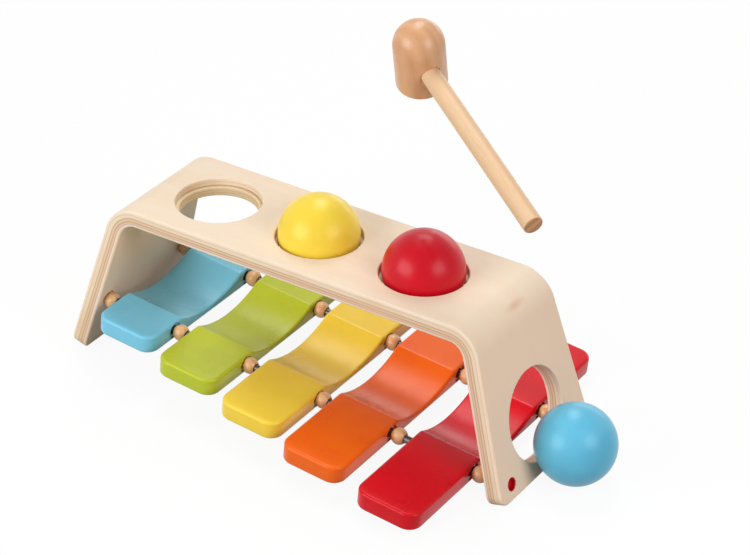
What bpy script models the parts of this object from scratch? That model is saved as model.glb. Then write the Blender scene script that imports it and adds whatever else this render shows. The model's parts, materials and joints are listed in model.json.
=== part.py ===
"""Toy metallophone: a bent plywood bridge over five wooden bars on two steel rods.

A ball is tapped through a springy ring in the bridge's top plate, drops on to the bars and
rolls down them, out of the round hole in the right leg.  The model is made around the middle
of the bridge, with X along the row of bars, Y from front to back and Z up.  At the end it is
shifted, so that the origin is the middle of the whole toy's box, on the floor.  Lengths are
in metres.
"""
import math

import bmesh
import bpy
from mathutils import Vector

# Running gap between two pieces that touch or slide, and how far a cutter runs past a face
clearance = 0.0003
overrun = 0.004

# Bridge: one sheet of plywood with two bends and two splayed legs that widen to the floor
bridge_height = 0.106
bridge_length = 0.2586          # between the top corners that the bends round off
bridge_width = 0.083
leg_flare = 0.011               # what each edge of a leg has gained in width at the floor
leg_splay = math.radians(16.0)
sheet_thickness = 0.011
bend_radius = 0.022
bridge_edge_radius = 0.0016
foot_corner_radius = 0.008
foot_land = 0.006               # width of the flat that stands on the floor

# Ball holes in the plate, each with a ledge and a wider bore below it for the ring
hole_radius = 0.0268
hole_pitch = 0.07425
hole_row_offset = -0.0049
hole_edge_radius = 0.0009
ledge_depth = 0.0045
ring_outer_radius = 0.0285
ring_edge_radius = 0.001

# Balls: two sit in the holes, the third has rolled out of the exit hole
ball_radius = 0.025
ball_rise = 0.0014              # a seated ball's centre above the plate

# Exit hole, square to the right leg
exit_radius = 0.02865
exit_rise = 0.036               # from the foot's end up the leg to the hole's middle

# Rods: they run downhill to the right, through both legs
rod_radius = 0.0025
rod_half_spread = 0.0384
rod_low_height = 0.0084         # where they meet the right leg's inner wall
rod_tilt = math.radians(5.2)

# Plugs that close the rods' bores on the legs' outer faces
plug_radius = 0.004
plug_length = 0.003
plug_dome_height = 0.0007
recess_depth = 0.0042
plug_rise = 0.0022              # up the leg from the rod's own line

# Bars: the lowest note is the longest
bar_half_lengths = {"blue": 0.064, "green": 0.075, "yellow": 0.085, "orange": 0.096, "red": 0.1035}
bar_slips = (-0.0002, 0.0, 0.0, -0.0013, 0.0023)     # how far each has slid along the rods
bar_gap = 0.0113                # between two bars
bar_gap_left = 0.0101           # from the left leg's inner wall to the first bar
bar_gap_right = 0.0176          # from the last bar to the right leg's inner wall
bar_thickness = 0.012
bar_hang = 0.0005               # a bar's bores are wide, so it hangs this far below the rods' line
bar_corner_radius = 0.009
bar_edge_radius = 0.0018
scoop_half_length = 0.0315
scoop_depth = 0.008
scoop_edge_radius = 0.002

# Beads: spacers on the rods, which go into shallow pockets in the left leg and the bars' sides
bead_radius = 0.0052
bead_seat_depth = 0.0013
leg_seat_depth = 0.0006
bead_slips = (0.0, 0.0017, 0.0, 0.0002, 0.0023, 0.0014)   # how far each lies out of its pocket
bead_rim = 0.0005               # flat round the bore at each end

# Mallet: it hovers over the toy, head up, with its handle towards the front right
mallet_place = Vector((0.0443, 0.031, 0.2254))   # where the axes of head and handle cross
mallet_heading = math.radians(-30.8)
mallet_dip = math.radians(14.6)
mallet_roll = math.radians(12.2)
head_radius = 0.01535
head_length = 0.0456
head_edge_radius = 0.0015
handle_drop = 0.0274            # from the dome's top down to the handle's axis
handle_radius = 0.0059
handle_reach = 0.1443           # from the head's axis to the tip
handle_inset = 0.006            # how far the blind bore runs past the head's axis
handle_edge_radius = 0.0012

# Smoothness: how many flats make up each round
hole_steps = 44
ring_steps = 30
rod_steps = 16
bead_steps = 14
ball_steps = 24
head_steps = 28
handle_steps = 20
scoop_steps = 72
bend_steps = 8
corner_steps = 4

# Colours of the finishes: red, green and blue shares, then roughness and metallic value
finishes = {
    "plywood": ((0.87, 0.76, 0.60), 0.45, 0.0),
    "turned_wood": ((0.70, 0.43, 0.22), 0.45, 0.0),
    "ring_rubber": ((0.78, 0.62, 0.42), 0.60, 0.0),
    "steel": ((0.62, 0.62, 0.63), 0.30, 1.0),
    "blue": ((0.16, 0.51, 0.70), 0.35, 0.0),
    "green": ((0.46, 0.56, 0.03), 0.35, 0.0),
    "yellow": ((0.90, 0.64, 0.05), 0.35, 0.0),
    "orange": ((0.86, 0.12, 0.01), 0.35, 0.0),
    "red": ((0.58, 0.01, 0.01), 0.30, 0.0),
}

# Sizes that follow from the ones above
half_length = bridge_length / 2
half_width = bridge_width / 2
bend_setback = bend_radius * math.tan((math.pi / 2 - leg_splay) / 2)
foot_rise = sheet_thickness * math.sin(leg_splay) - foot_land * math.sin(leg_splay) * math.cos(leg_splay)
leg_length = (bridge_height - foot_rise) / math.cos(leg_splay)
exit_distance = leg_length - exit_rise
hole_places = [hole_row_offset + hole_pitch * step for step in (-1, 0, 1)]
ring_bore_radius = ring_outer_radius + clearance
ring_drop = ball_rise + ledge_depth + clearance + ring_edge_radius
ring_edge_reach = math.sqrt((ball_radius + clearance + ring_edge_radius) ** 2 - ring_drop ** 2)
ball_seat_height = bridge_height + ball_rise
rod_bore_radius = rod_radius + clearance
bar_bore_radius = rod_bore_radius + bar_hang
bead_half_length = math.sqrt(bead_radius ** 2 - (rod_bore_radius + bead_rim) ** 2)
bead_sunk = bead_half_length + clearance - bead_seat_depth
bead_seat_radius = math.sqrt(bead_radius ** 2 - bead_sunk ** 2) + bar_hang + clearance
scoop_radius = (scoop_half_length ** 2 + scoop_depth ** 2) / (2 * scoop_depth)


def on_leg(side, down, depth=0.0):
    """A point in the middle plane: down a leg from the top corner, and into its wall."""
    x = half_length + down * math.sin(leg_splay) - depth * math.cos(leg_splay)
    z = bridge_height - down * math.cos(leg_splay) - depth * math.sin(leg_splay)
    return Vector((side * x, 0, z))


def rod_middle_height():
    """Height of the rods half way along the bridge, from where they meet the right leg."""
    down = (bridge_height - sheet_thickness * math.sin(leg_splay) - rod_low_height) / math.cos(leg_splay)
    wall = on_leg(1, down, sheet_thickness)
    return wall.z + wall.x * math.tan(rod_tilt)


rod_height = rod_middle_height()


def rod_frame_point(u):
    """A point of the rods' middle line at a distance along it from the bridge's middle."""
    return Vector((u * math.cos(rod_tilt), 0, rod_height - u * math.sin(rod_tilt)))


def rod_reach(side, depth):
    """Distance along the rods to a plane inside a leg's wall, at a depth below its outer face."""
    normal = Vector((side * math.cos(leg_splay), 0, math.sin(leg_splay)))
    along = Vector((math.cos(rod_tilt), 0, -math.sin(rod_tilt)))
    start = on_leg(side, 0, depth) - rod_frame_point(0)
    return start.dot(normal) / along.dot(normal)


def bar_row():
    """Distances along the rods of the five bars, which share the room between the legs, and their width."""
    left = rod_reach(-1, sheet_thickness) + bar_gap_left
    right = rod_reach(1, sheet_thickness) - bar_gap_right
    pitch = (right - left + bar_gap) / len(bar_half_lengths)
    width = pitch - bar_gap
    return [left + width / 2 + pitch * number + slip for number, slip in enumerate(bar_slips)], width


bar_places, bar_width = bar_row()




def clear_scene():
    """Remove every object, so that the script can run again in the same file."""
    for thing in list(bpy.data.objects):
        bpy.data.objects.remove(thing, do_unlink=True)
    for group in list(bpy.data.collections):
        bpy.data.collections.remove(group)


clear_scene()
parts = bpy.data.collections.new("toy_metallophone")
cutters = bpy.data.collections.new("cutters")
bpy.context.scene.collection.children.link(parts)
bpy.context.scene.collection.children.link(cutters)


def finish_material(name, finish):
    """A material of a piece's own, in one of the toy's finishes."""
    colour, roughness, metallic = finishes[finish]
    material = bpy.data.materials.new(name + "_finish")
    material.use_nodes = True
    shader = material.node_tree.nodes["Principled BSDF"]
    shader.inputs["Base Color"].default_value = (*colour, 1.0)
    shader.inputs["Roughness"].default_value = roughness
    shader.inputs["Metallic"].default_value = metallic
    material.diffuse_color = (*colour, 1.0)
    return material


def empty(name, parent=None, place=(0, 0, 0), turn=(0, 0, 0)):
    """An empty that carries other pieces."""
    frame = bpy.data.objects.new(name, None)
    frame.location = place
    frame.rotation_euler = turn
    frame.parent = parent
    parts.objects.link(frame)
    return frame


def piece(name, mesh, finish, parent, place=(0, 0, 0), turn=(0, 0, 0)):
    """A piece of the toy with its own material."""
    thing = bpy.data.objects.new(name, mesh)
    thing.location = place
    thing.rotation_euler = turn
    thing.parent = parent
    thing.data.materials.append(finish_material(name, finish))
    parts.objects.link(thing)
    return thing


def cutter(name, mesh, parent, place=(0, 0, 0), turn=(0, 0, 0)):
    """A shape that only takes material away."""
    thing = bpy.data.objects.new(name, mesh)
    thing.location = place
    thing.rotation_euler = turn
    thing.parent = parent
    thing.hide_render = True
    thing.display_type = "WIRE"
    cutters.objects.link(thing)
    return thing


def cut(target, tool):
    """Take a cutter's shape out of a piece."""
    modifier = target.modifiers.new("cut_" + tool.name, "BOOLEAN")
    modifier.operation = "DIFFERENCE"
    modifier.solver = "EXACT"
    modifier.object = tool


def add_bevel(target, width, segments=2):
    """Round the edges that turn by more than a gentle curve does."""
    modifier = target.modifiers.new("rounded_edges", "BEVEL")
    modifier.width = width
    modifier.segments = segments
    modifier.limit_method = "ANGLE"
    modifier.angle_limit = math.radians(40.0)


def arc(centre_r, centre_z, radius, start, end, steps):
    """Points of a round stretch of a profile, with both ends, its angles in degrees from +R."""
    angles = [math.radians(start + (end - start) * step / steps) for step in range(steps + 1)]
    return [(centre_r + radius * math.cos(a), centre_z + radius * math.sin(a)) for a in angles]


def profile_mesh(name, profile, closed):
    """Edges of a profile in the XZ plane, ready to be turned about Z."""
    mesh = bpy.data.meshes.new(name)
    count = len(profile)
    edges = [(i, (i + 1) % count) for i in range(count if closed else count - 1)]
    mesh.from_pydata([(r, 0, z) for r, z in profile], edges, [])
    return mesh


def add_screw(target, steps):
    """Turn the profile once round Z."""
    modifier = target.modifiers.new("turned", "SCREW")
    modifier.angle = 2 * math.pi
    modifier.steps = steps
    modifier.render_steps = steps
    modifier.use_merge_vertices = True
    modifier.merge_threshold = clearance / 10
    modifier.use_smooth_shade = True


def smooth_round(mesh):
    """Shade a round mesh smooth, with its sharp edges kept."""
    mesh.shade_smooth()
    mesh.set_sharp_from_angle(angle=math.radians(35.0))


def cylinder_mesh(name, radius, low, high, steps):
    """A closed cylinder along Z from one height to another."""
    mesh = bpy.data.meshes.new(name)
    bm = bmesh.new()
    bmesh.ops.create_cone(bm, cap_ends=True, segments=steps, radius1=radius, radius2=radius, depth=high - low)
    bmesh.ops.translate(bm, verts=bm.verts, vec=(0, 0, (high + low) / 2))
    bm.to_mesh(mesh)
    bm.free()
    smooth_round(mesh)
    return mesh


def leg_half_width(height):
    """Half the sheet's width at a height: the plate's own, and straight flares down the legs."""
    return half_width + leg_flare * (bridge_height - height) / bridge_height


def bridge_rows():
    """Rows of the outer surface's right half, as x, z and half width, from plate to foot."""
    rows = [(0, bridge_height, half_width)]
    centre_x = half_length - bend_setback
    centre_z = bridge_height - bend_radius
    turn = math.pi / 2 - leg_splay
    for step in range(bend_steps + 1):
        angle = turn * step / bend_steps
        z = centre_z + bend_radius * math.cos(angle)
        rows.append((centre_x + bend_radius * math.sin(angle), z, leg_half_width(z)))
    for step in range(corner_steps + 1):
        angle = math.pi / 2 * step / corner_steps
        to_end = foot_corner_radius * (1 - math.sin(angle))
        down = leg_length - to_end
        z = bridge_height - down * math.cos(leg_splay)
        inward = foot_corner_radius * (1 - math.cos(angle))
        rows.append((half_length + down * math.sin(leg_splay), z, leg_half_width(z) - inward))
    return rows


def bridge_mesh():
    """Right half of the bent sheet's outer surface, open at the middle; a flat leg is one face."""
    mesh = bpy.data.meshes.new("bridge")
    bm = bmesh.new()
    lines = []
    for x, z, width in bridge_rows():
        lines.append((bm.verts.new((x, -width, z)), bm.verts.new((x, width, z))))
    bent = bend_steps + 2
    for (front, rear), (next_front, next_rear) in zip(lines[:bent], lines[1:bent]):
        bm.faces.new((front, next_front, next_rear, rear))
    leg = lines[bent - 1:]
    bm.faces.new([front for front, rear in leg] + [rear for front, rear in reversed(leg)])
    bm.to_mesh(mesh)
    bm.free()
    return mesh


def leg_turn(side):
    """The turn that points a turned shape's top out of a leg's outer face, square to it."""
    return (0, side * (math.pi / 2 - leg_splay), 0)


def rim(radius):
    """Profile of a bore's rounded rim, from a flare that runs out through the face, down into the bore."""
    flare = radius + hole_edge_radius
    round_part = arc(flare, -hole_edge_radius, hole_edge_radius, 120, 180, 2)
    first_r, first_z = round_part[0]
    slope = math.radians(30)
    outside = (first_r + overrun * math.cos(slope), first_z + overrun * math.sin(slope))
    return [(0, outside[1]), outside, *round_part]


def ball_hole_profile():
    """Bore with a rounded rim above, a ledge, and the ring's wider bore below; zero is the plate's face."""
    below = -sheet_thickness - overrun
    return [*rim(hole_radius), (hole_radius, -ledge_depth), (ring_bore_radius, -ledge_depth),
            (ring_bore_radius, below), (0, below)]


def exit_hole_profile():
    """Bore through the leg with both rims rounded; zero is the leg's outer face."""
    outer = rim(exit_radius)
    inner = [(r, -sheet_thickness - z) for r, z in reversed(outer)]
    return [*outer, *inner]


def plug_distance(side):
    """How far down a leg the rod's line meets the floor of the plug's recess, less the rise."""
    meeting = rod_frame_point(rod_reach(side, recess_depth))
    down = Vector((side * math.sin(leg_splay), 0, -math.cos(leg_splay)))
    return (meeting - on_leg(side, 0, recess_depth)).dot(down) - plug_rise


def rod_end(side):
    """Where a rod stops, with its square end clear of the plug's recess."""
    slant = leg_splay + side * rod_tilt
    return rod_reach(side, recess_depth) - side * (rod_radius * math.tan(slant) + clearance)


def make_bridge(toy, rods):
    """The bent sheet, with its ball holes, exit hole, rod bores and plug recesses."""
    bridge = piece("bridge", bridge_mesh(), "plywood", toy)
    mirror = bridge.modifiers.new("other_leg", "MIRROR")
    mirror.merge_threshold = clearance / 10
    wall = bridge.modifiers.new("sheet", "SOLIDIFY")
    wall.thickness = sheet_thickness
    wall.offset = -1.0
    wall.use_even_offset = True

    floor_mesh = bpy.data.meshes.new("floor_cutter")
    bm = bmesh.new()
    bmesh.ops.create_cube(bm, size=1.0)
    bmesh.ops.scale(bm, verts=bm.verts, vec=(2 * bridge_length, 2 * bridge_length, bridge_height))
    bm.to_mesh(floor_mesh)
    bm.free()
    cut(bridge, cutter("floor_cutter", floor_mesh, toy, place=(0, 0, -bridge_height / 2)))
    add_bevel(bridge, bridge_edge_radius)

    for number, x in enumerate(hole_places):
        tool = cutter(f"ball_hole_cutter_{number + 1}", profile_mesh("ball_hole", ball_hole_profile(), False),
                      toy, place=(x, 0, bridge_height))
        add_screw(tool, hole_steps)
        cut(bridge, tool)

    tool = cutter("exit_hole_cutter", profile_mesh("exit_hole", exit_hole_profile(), False), toy,
                  place=on_leg(1, exit_distance), turn=leg_turn(1))
    add_screw(tool, hole_steps)
    cut(bridge, tool)

    for y_side, y_name in ((-1, "front"), (1, "rear")):
        y = y_side * rod_half_spread
        bore = cylinder_mesh("rod_bore", rod_bore_radius, rod_reach(-1, recess_depth) - overrun / 2,
                             rod_reach(1, recess_depth) + overrun / 2, rod_steps)
        along = (0, math.pi / 2, 0)
        cut(bridge, cutter(f"rod_bore_cutter_{y_name}", bore, rods, place=(0, y, 0), turn=along))
        inner_wall = rod_reach(-1, sheet_thickness)
        pocket = cylinder_mesh("bead_pocket", bead_radius + clearance, inner_wall - leg_seat_depth,
                               inner_wall + overrun, rod_steps)
        cut(bridge, cutter(f"pocket_cutter_{y_name}", pocket, rods, place=(0, y, 0), turn=along))
        for side, side_name in ((-1, "left"), (1, "right")):
            recess = cylinder_mesh("plug_recess", plug_radius + clearance, -recess_depth, overrun, rod_steps)
            place = on_leg(side, plug_distance(side)) + Vector((0, y, 0))
            cut(bridge, cutter(f"recess_cutter_{y_name}_{side_name}", recess, toy, place=place,
                               turn=leg_turn(side)))
    return bridge


def make_rings(toy):
    """Springy rings under the ledges, which hold a ball until it is tapped through."""
    top = bridge_height - ledge_depth - clearance
    bottom = bridge_height - sheet_thickness
    edge = ring_edge_radius
    profile = [(ring_outer_radius, top), (ring_outer_radius, bottom),
               *arc(ring_edge_reach, bottom + edge, edge, -90, -180, 2),
               *arc(ring_edge_reach, top - edge, edge, 180, 90, 2)]
    for x, name in zip(hole_places, ("left", "middle", "right")):
        ring = piece(f"ring_{name}", profile_mesh("ring", profile, True), "ring_rubber", toy, place=(x, 0, 0))
        add_screw(ring, ring_steps)


def make_rods(rods):
    """Two steel rods, each from the plug in one leg to the plug in the other."""
    for y_side, name in ((-1, "front"), (1, "rear")):
        mesh = cylinder_mesh("rod", rod_radius, rod_end(-1), rod_end(1), rod_steps)
        piece(f"rod_{name}", mesh, "steel", rods, place=(0, y_side * rod_half_spread, 0),
              turn=(0, math.pi / 2, 0))


def make_plugs(toy):
    """Domed plugs in their recesses."""
    crown = (plug_radius ** 2 + plug_dome_height ** 2) / (2 * plug_dome_height)
    edge = math.degrees(math.asin((crown - plug_dome_height) / crown))
    low = clearance - recess_depth
    top = low + plug_length
    dome = arc(0, top - crown, crown, 90, edge, 3)
    profile = [(0, top), *dome[1:], (plug_radius, low), (0, low)]
    for y_side, y_name in ((-1, "front"), (1, "rear")):
        for side, side_name in ((-1, "left"), (1, "right")):
            place = on_leg(side, plug_distance(side)) + Vector((0, y_side * rod_half_spread, 0))
            plug = piece(f"plug_{y_name}_{side_name}", profile_mesh("plug", profile, False), "red", toy,
                         place=place, turn=leg_turn(side))
            add_screw(plug, rod_steps)


def bar_blank(name, half_bar):
    """A flat bar with round corners and rounded edges, as a mesh about its own middle."""
    curve = bpy.data.curves.new(name, "CURVE")
    curve.dimensions = "2D"
    curve.fill_mode = "BOTH"
    curve.extrude = bar_thickness / 2 - bar_edge_radius
    curve.bevel_depth = bar_edge_radius
    curve.bevel_resolution = 1
    curve.offset = -bar_edge_radius
    corner_x = bar_width / 2 - bar_corner_radius
    corner_y = half_bar - bar_corner_radius
    outline = []
    for x_side, y_side, start in ((1, 1, 0), (-1, 1, 90), (-1, -1, 180), (1, -1, 270)):
        outline += arc(x_side * corner_x, y_side * corner_y, bar_corner_radius, start, start + 90, corner_steps)
    spline = curve.splines.new("POLY")
    spline.points.add(len(outline) - 1)
    for point, (x, y) in zip(spline.points, outline):
        point.co = (x, y, 0, 1)
    spline.use_cyclic_u = True
    drawn = bpy.data.objects.new(name, curve)
    bpy.context.scene.collection.objects.link(drawn)
    bpy.context.view_layer.update()
    mesh = bpy.data.meshes.new_from_object(drawn.evaluated_get(bpy.context.evaluated_depsgraph_get()))
    bpy.data.objects.remove(drawn, do_unlink=True)
    bm = bmesh.new()
    bm.from_mesh(mesh)
    bmesh.ops.remove_doubles(bm, verts=bm.verts, dist=clearance / 10)
    bm.to_mesh(mesh)
    bm.free()
    return mesh


def scoop_profile():
    """A wide drum with flared ends: it hollows a bar and rounds the hollow's side edges."""
    reach = bar_width / 2
    shoulder = reach - scoop_edge_radius
    wide = scoop_radius + scoop_edge_radius
    top = [(0, reach + overrun), (wide, reach + overrun)]
    upper = arc(wide, shoulder, scoop_edge_radius, 90, 180, 2)
    lower = arc(wide, -shoulder, scoop_edge_radius, 180, 270, 2)
    return [*top, *upper, *lower, (wide, -reach - overrun), (0, -reach - overrun)]


def bar_bore_profile():
    """A rod's bore through a bar, with a bead's pocket at each side."""
    side = bar_width / 2
    step = side - bead_seat_depth
    return [(0, side + overrun), (bead_seat_radius, side + overrun), (bead_seat_radius, step),
            (bar_bore_radius, step), (bar_bore_radius, -step), (bead_seat_radius, -step),
            (bead_seat_radius, -side - overrun), (0, -side - overrun)]


def make_bars(rods):
    """Five bars, hollowed across the middle where the balls roll."""
    along = (0, math.pi / 2, 0)
    drum_height = bar_thickness / 2 - scoop_depth + scoop_radius
    for u, (colour, half_bar) in zip(bar_places, bar_half_lengths.items()):
        bar = piece(f"bar_{colour}", bar_blank("bar", half_bar), colour, rods,
                    place=(u, 0, -bar_hang))
        scoop = cutter(f"scoop_cutter_{colour}", profile_mesh("scoop", scoop_profile(), False), rods,
                       place=(u, 0, drum_height - bar_hang), turn=along)
        add_screw(scoop, scoop_steps)
        cut(bar, scoop)
        for y_side, name in ((-1, "front"), (1, "rear")):
            bore = cutter(f"bore_cutter_{colour}_{name}", profile_mesh("bore", bar_bore_profile(), False),
                          rods, place=(u, y_side * rod_half_spread, -bar_hang), turn=along)
            add_screw(bore, rod_steps)
            cut(bar, bore)


def bead_places():
    """Distances along the rods: one bead in the left leg's pocket and one right of each bar."""
    pockets = [rod_reach(-1, sheet_thickness) - leg_seat_depth]
    pockets += [u + bar_width / 2 - bead_seat_depth for u in bar_places]
    return [pocket + clearance + bead_half_length + slip for pocket, slip in zip(pockets, bead_slips)]


def make_beads(rods):
    """Round wooden beads threaded on the rods."""
    end_angle = math.degrees(math.asin(bead_half_length / bead_radius))
    outer = arc(0, 0, bead_radius, end_angle, -end_angle, 6)
    profile = [(rod_bore_radius, bead_half_length), *outer, (rod_bore_radius, -bead_half_length)]
    for y_side, name in ((-1, "front"), (1, "rear")):
        for number, u in enumerate(bead_places()):
            bead = piece(f"bead_{name}_{number + 1}", profile_mesh("bead", profile, True), "turned_wood", rods,
                         place=(u, y_side * rod_half_spread, 0), turn=(0, math.pi / 2, 0))
            add_screw(bead, bead_steps)


def blue_ball_place():
    """A ball on the floor, just clear of the exit hole's lower lip."""
    lip = on_leg(1, exit_distance + exit_radius)
    away = math.sqrt((ball_radius + clearance) ** 2 - (ball_radius - lip.z) ** 2)
    return (lip.x + away, 0, ball_radius)


def make_balls(toy):
    """Two balls in their holes and one outside the exit hole."""
    places = {"yellow": (hole_places[1], 0, ball_seat_height), "red": (hole_places[2], 0, ball_seat_height),
              "blue": blue_ball_place()}
    for colour, place in places.items():
        mesh = bpy.data.meshes.new("ball")
        bm = bmesh.new()
        bmesh.ops.create_uvsphere(bm, u_segments=ball_steps, v_segments=ball_steps // 2, radius=ball_radius)
        bm.to_mesh(mesh)
        bm.free()
        smooth_round(mesh)
        piece(f"ball_{colour}", mesh, colour, toy, place=place)


def mallet_head_profile():
    """A half ball on a cylinder, with the striking face's edge rounded."""
    dome_centre = handle_drop - head_radius
    face = handle_drop - head_length
    dome = arc(0, dome_centre, head_radius, 90, 0, 7)
    edge = arc(head_radius - head_edge_radius, face + head_edge_radius, head_edge_radius, 0, -90, 2)
    return [(0, handle_drop), *dome[1:], *edge, (0, face)]


def make_mallet(toy):
    """Head and handle, both about the point where their axes cross."""
    mallet = empty("mallet", toy, place=mallet_place, turn=(mallet_roll, mallet_dip, mallet_heading))
    head = piece("mallet_head", profile_mesh("head", mallet_head_profile(), False), "turned_wood", mallet)
    add_screw(head, head_steps)
    along = (0, math.pi / 2, 0)
    bore = cylinder_mesh("handle_bore", handle_radius + clearance, -handle_inset, head_radius + overrun,
                         handle_steps)
    cut(head, cutter("handle_bore_cutter", bore, mallet, turn=along))
    handle = piece("mallet_handle",
                   cylinder_mesh("handle", handle_radius, clearance - handle_inset, handle_reach, handle_steps),
                   "turned_wood", mallet, turn=along)
    add_bevel(handle, handle_edge_radius)


def model_box():
    """Lowest and highest corner of all the pieces, as their modifiers leave them."""
    bpy.context.view_layer.update()
    graph = bpy.context.evaluated_depsgraph_get()
    points = []
    for thing in parts.objects:
        if thing.type == "MESH":
            done = thing.evaluated_get(graph)
            points += [done.matrix_world @ vertex.co for vertex in done.data.vertices]
    low = Vector([min(point[axis] for point in points) for axis in range(3)])
    high = Vector([max(point[axis] for point in points) for axis in range(3)])
    return low, high


def ball_drop(x):
    """How far a seated ball falls before it lies in the bars' hollow, a clearance above it."""
    rod_line = rod_height - x * math.tan(rod_tilt)
    hollow = bar_thickness / 2 - scoop_depth - bar_hang
    rest = rod_line + (hollow + ball_radius + clearance) / math.cos(rod_tilt)
    return ball_seat_height - rest


def report_places(toy):
    """Print the places and ranges that the joints and mounts need, in metres."""
    bpy.context.view_layer.update()
    shift = toy.location
    print("shift", [round(v, 6) for v in shift])
    for thing in parts.objects:
        print("place", thing.name, [round(v, 6) for v in thing.matrix_world.translation])
    direction = [round(math.cos(rod_tilt), 6), 0, round(-math.sin(rod_tilt), 6)]
    print("rod direction", direction)
    print("ball drops", [round(ball_drop(x), 6) for x in hole_places[1:]])
    bead_u = bead_places()
    for number, u in enumerate(bar_places):
        left_room = u - bar_width / 2 + bead_seat_depth - (bead_u[number] + bead_half_length) - clearance
        right_room = bead_u[number + 1] - bead_half_length - (u + bar_width / 2 - bead_seat_depth) - clearance
        print("bar play", number, round(left_room, 6), round(right_room, 6))
    foot = on_leg(1, leg_length, sheet_thickness)
    print("foot inner corner x", round(foot.x, 6), "exit centre", [round(v, 6) for v in on_leg(1, exit_distance)])
    print("exit lip", [round(v, 6) for v in on_leg(1, exit_distance + exit_radius)])


toy_frame = empty("toy_frame")
rod_frame = empty("rod_frame", toy_frame, place=(0, 0, rod_height), turn=(0, rod_tilt, 0))
make_bridge(toy_frame, rod_frame)
make_rings(toy_frame)
make_rods(rod_frame)
make_plugs(toy_frame)
make_bars(rod_frame)
make_beads(rod_frame)
make_balls(toy_frame)
make_mallet(toy_frame)
box_low, box_high = model_box()
toy_frame.location = (-(box_low.x + box_high.x) / 2, -(box_low.y + box_high.y) / 2, -box_low.z)
report_places(toy_frame)
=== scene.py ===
# %% [markdown]
# # A toy metallophone
# The toy is a bent plywood bridge over five painted bars.  A ball that is tapped through a hole in
# the bridge drops on the bars, rolls down them and leaves through the round hole in the right leg.
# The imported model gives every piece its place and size.  This lesson gives each piece its fine
# surface and its finish, one after the other, and sets up a plain studio round them.  All lengths
# are in metres.

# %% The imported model
import json
import math

import bmesh
import bpy
import numpy as np
from mathutils import Matrix, Vector

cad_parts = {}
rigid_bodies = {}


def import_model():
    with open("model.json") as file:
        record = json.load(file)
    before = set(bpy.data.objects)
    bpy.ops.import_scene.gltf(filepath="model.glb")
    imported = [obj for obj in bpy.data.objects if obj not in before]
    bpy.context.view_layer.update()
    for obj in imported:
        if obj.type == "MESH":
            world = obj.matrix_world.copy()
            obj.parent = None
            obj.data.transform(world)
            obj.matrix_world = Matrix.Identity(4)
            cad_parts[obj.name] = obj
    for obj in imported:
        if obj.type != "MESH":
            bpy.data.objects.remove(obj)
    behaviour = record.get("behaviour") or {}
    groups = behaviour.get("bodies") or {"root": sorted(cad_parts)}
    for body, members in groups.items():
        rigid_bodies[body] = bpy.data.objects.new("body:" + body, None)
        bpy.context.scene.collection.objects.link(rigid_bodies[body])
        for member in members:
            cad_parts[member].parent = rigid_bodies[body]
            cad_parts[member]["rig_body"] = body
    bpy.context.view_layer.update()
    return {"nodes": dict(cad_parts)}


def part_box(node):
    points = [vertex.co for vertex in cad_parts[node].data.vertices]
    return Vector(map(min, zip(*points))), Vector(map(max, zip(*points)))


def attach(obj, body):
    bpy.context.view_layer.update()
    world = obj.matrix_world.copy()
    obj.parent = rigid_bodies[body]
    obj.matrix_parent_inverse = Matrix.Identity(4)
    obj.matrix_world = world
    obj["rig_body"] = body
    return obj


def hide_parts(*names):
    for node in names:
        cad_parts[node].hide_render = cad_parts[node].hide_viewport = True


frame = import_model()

BRIDGE_LOW, BRIDGE_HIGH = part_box("bridge")
MIDDLE = (BRIDGE_LOW.x + BRIDGE_HIGH.x) / 2
print("bridge's middle", round(MIDDLE, 5), "height", round(BRIDGE_HIGH.z, 4))

# %% [markdown]
# ## The camera
# The toy was photographed from its front right corner, from about 1.7 m away, with a long lens.  A
# camera can be aimed by angles or by the three directions of its own axes.  The axes are used here,
# because they carry the small roll of the photograph as well.

# %% Camera
CAMERA_PLACE = Vector((0.8091, -1.1935, 0.9707))
CAMERA_RIGHT = Vector((0.8356, 0.5493, 0.0102))
CAMERA_UP = Vector((-0.2964, 0.4350, 0.8502))
LENS = 134.9
camera = bpy.data.objects.new("camera", bpy.data.cameras.new("camera"))
camera.data.lens = LENS
axes = Matrix((CAMERA_RIGHT, CAMERA_UP, CAMERA_RIGHT.cross(CAMERA_UP))).transposed()
camera.matrix_world = Matrix.Translation(CAMERA_PLACE + Vector((MIDDLE, 0, 0))) @ axes.to_4x4()
bpy.context.scene.collection.objects.link(camera)
bpy.context.scene.camera = camera
bpy.context.scene.view_settings.view_transform = "Standard"
print("camera at", [round(v, 4) for v in camera.matrix_world.translation])

# %% [markdown]
# ## Shader sums in plain Python
# A procedural material is a sum of small nodes.  Written out node by node it is hard to read, so a
# small class wraps one socket and gives it Python's own operators: `1 - mask` then adds the Math
# node by itself.  Every other node comes from one method, which takes its type, its settings and
# what goes into its sockets.

# %% Sockets with operators
def math_method(operation, swapped=False):
    """A method that adds one Math node; swapped puts the other value first."""
    def method(self, other):
        values = (other, self) if swapped else (self, other)
        return self.finish.math(operation, *values)
    return method


class Wire:
    """An output socket of a finish."""

    def __init__(self, finish, socket):
        self.finish = finish
        self.socket = socket

    __add__ = __radd__ = math_method("ADD")
    __mul__ = __rmul__ = math_method("MULTIPLY")
    __sub__ = math_method("SUBTRACT")
    __rsub__ = math_method("SUBTRACT", swapped=True)
    __truediv__ = math_method("DIVIDE")


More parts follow.
